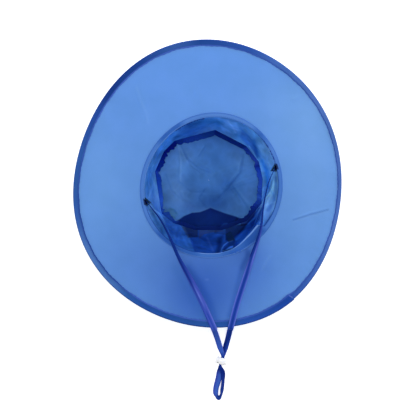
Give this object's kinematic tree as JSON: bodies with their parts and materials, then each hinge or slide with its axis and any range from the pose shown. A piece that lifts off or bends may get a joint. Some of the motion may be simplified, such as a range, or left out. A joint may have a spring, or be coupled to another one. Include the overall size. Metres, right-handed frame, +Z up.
{
  "type": "foldable sun hat",
  "caption": "Foldable sun hat lying on its crown, with a wide wired brim, a soft crown with an open hollow, and a flat chin strap with a cord lock.",
  "frame": {"origin": "on the floor, on the outer face of the crown's flat top, below the middle of the head opening", "axes": "+Z up, from the crown's top to the head opening; -Y towards the cord lock; +X to the right of a viewer who looks down with the cord lock nearest"},
  "size_m": [0.3697, 0.5043, 0.1052],
  "materials": {
    "brim_cloth": "thin woven polyester, light blue",
    "crown_cloth": "thin woven polyester, mid blue",
    "binding_tape": "folded dark blue binding tape",
    "rim_tape": "pale blue seam tape",
    "strap_tape": "flat woven blue tape",
    "white_plastic": "moulded white plastic"
  },
  "bodies": {
    "hat": {"brim": "brim_cloth", "brim_binding": "binding_tape", "rim_band": "rim_tape", "crown_side": "crown_cloth", "crown_top": "crown_cloth", "crown_seam": "binding_tape", "side_seam": "crown_cloth", "chin_strap": "strap_tape", "cord_lock_body": "white_plastic"},
    "button": {"cord_lock_button": "white_plastic"}
  },
  "joints": [
    {"name": "button_press", "type": "slide", "parent": "hat", "child": "button", "axis": [-0.9397, 0.342, 0], "range_m": [0, 0.003], "stiffness_N_per_m": 150}
  ]
}
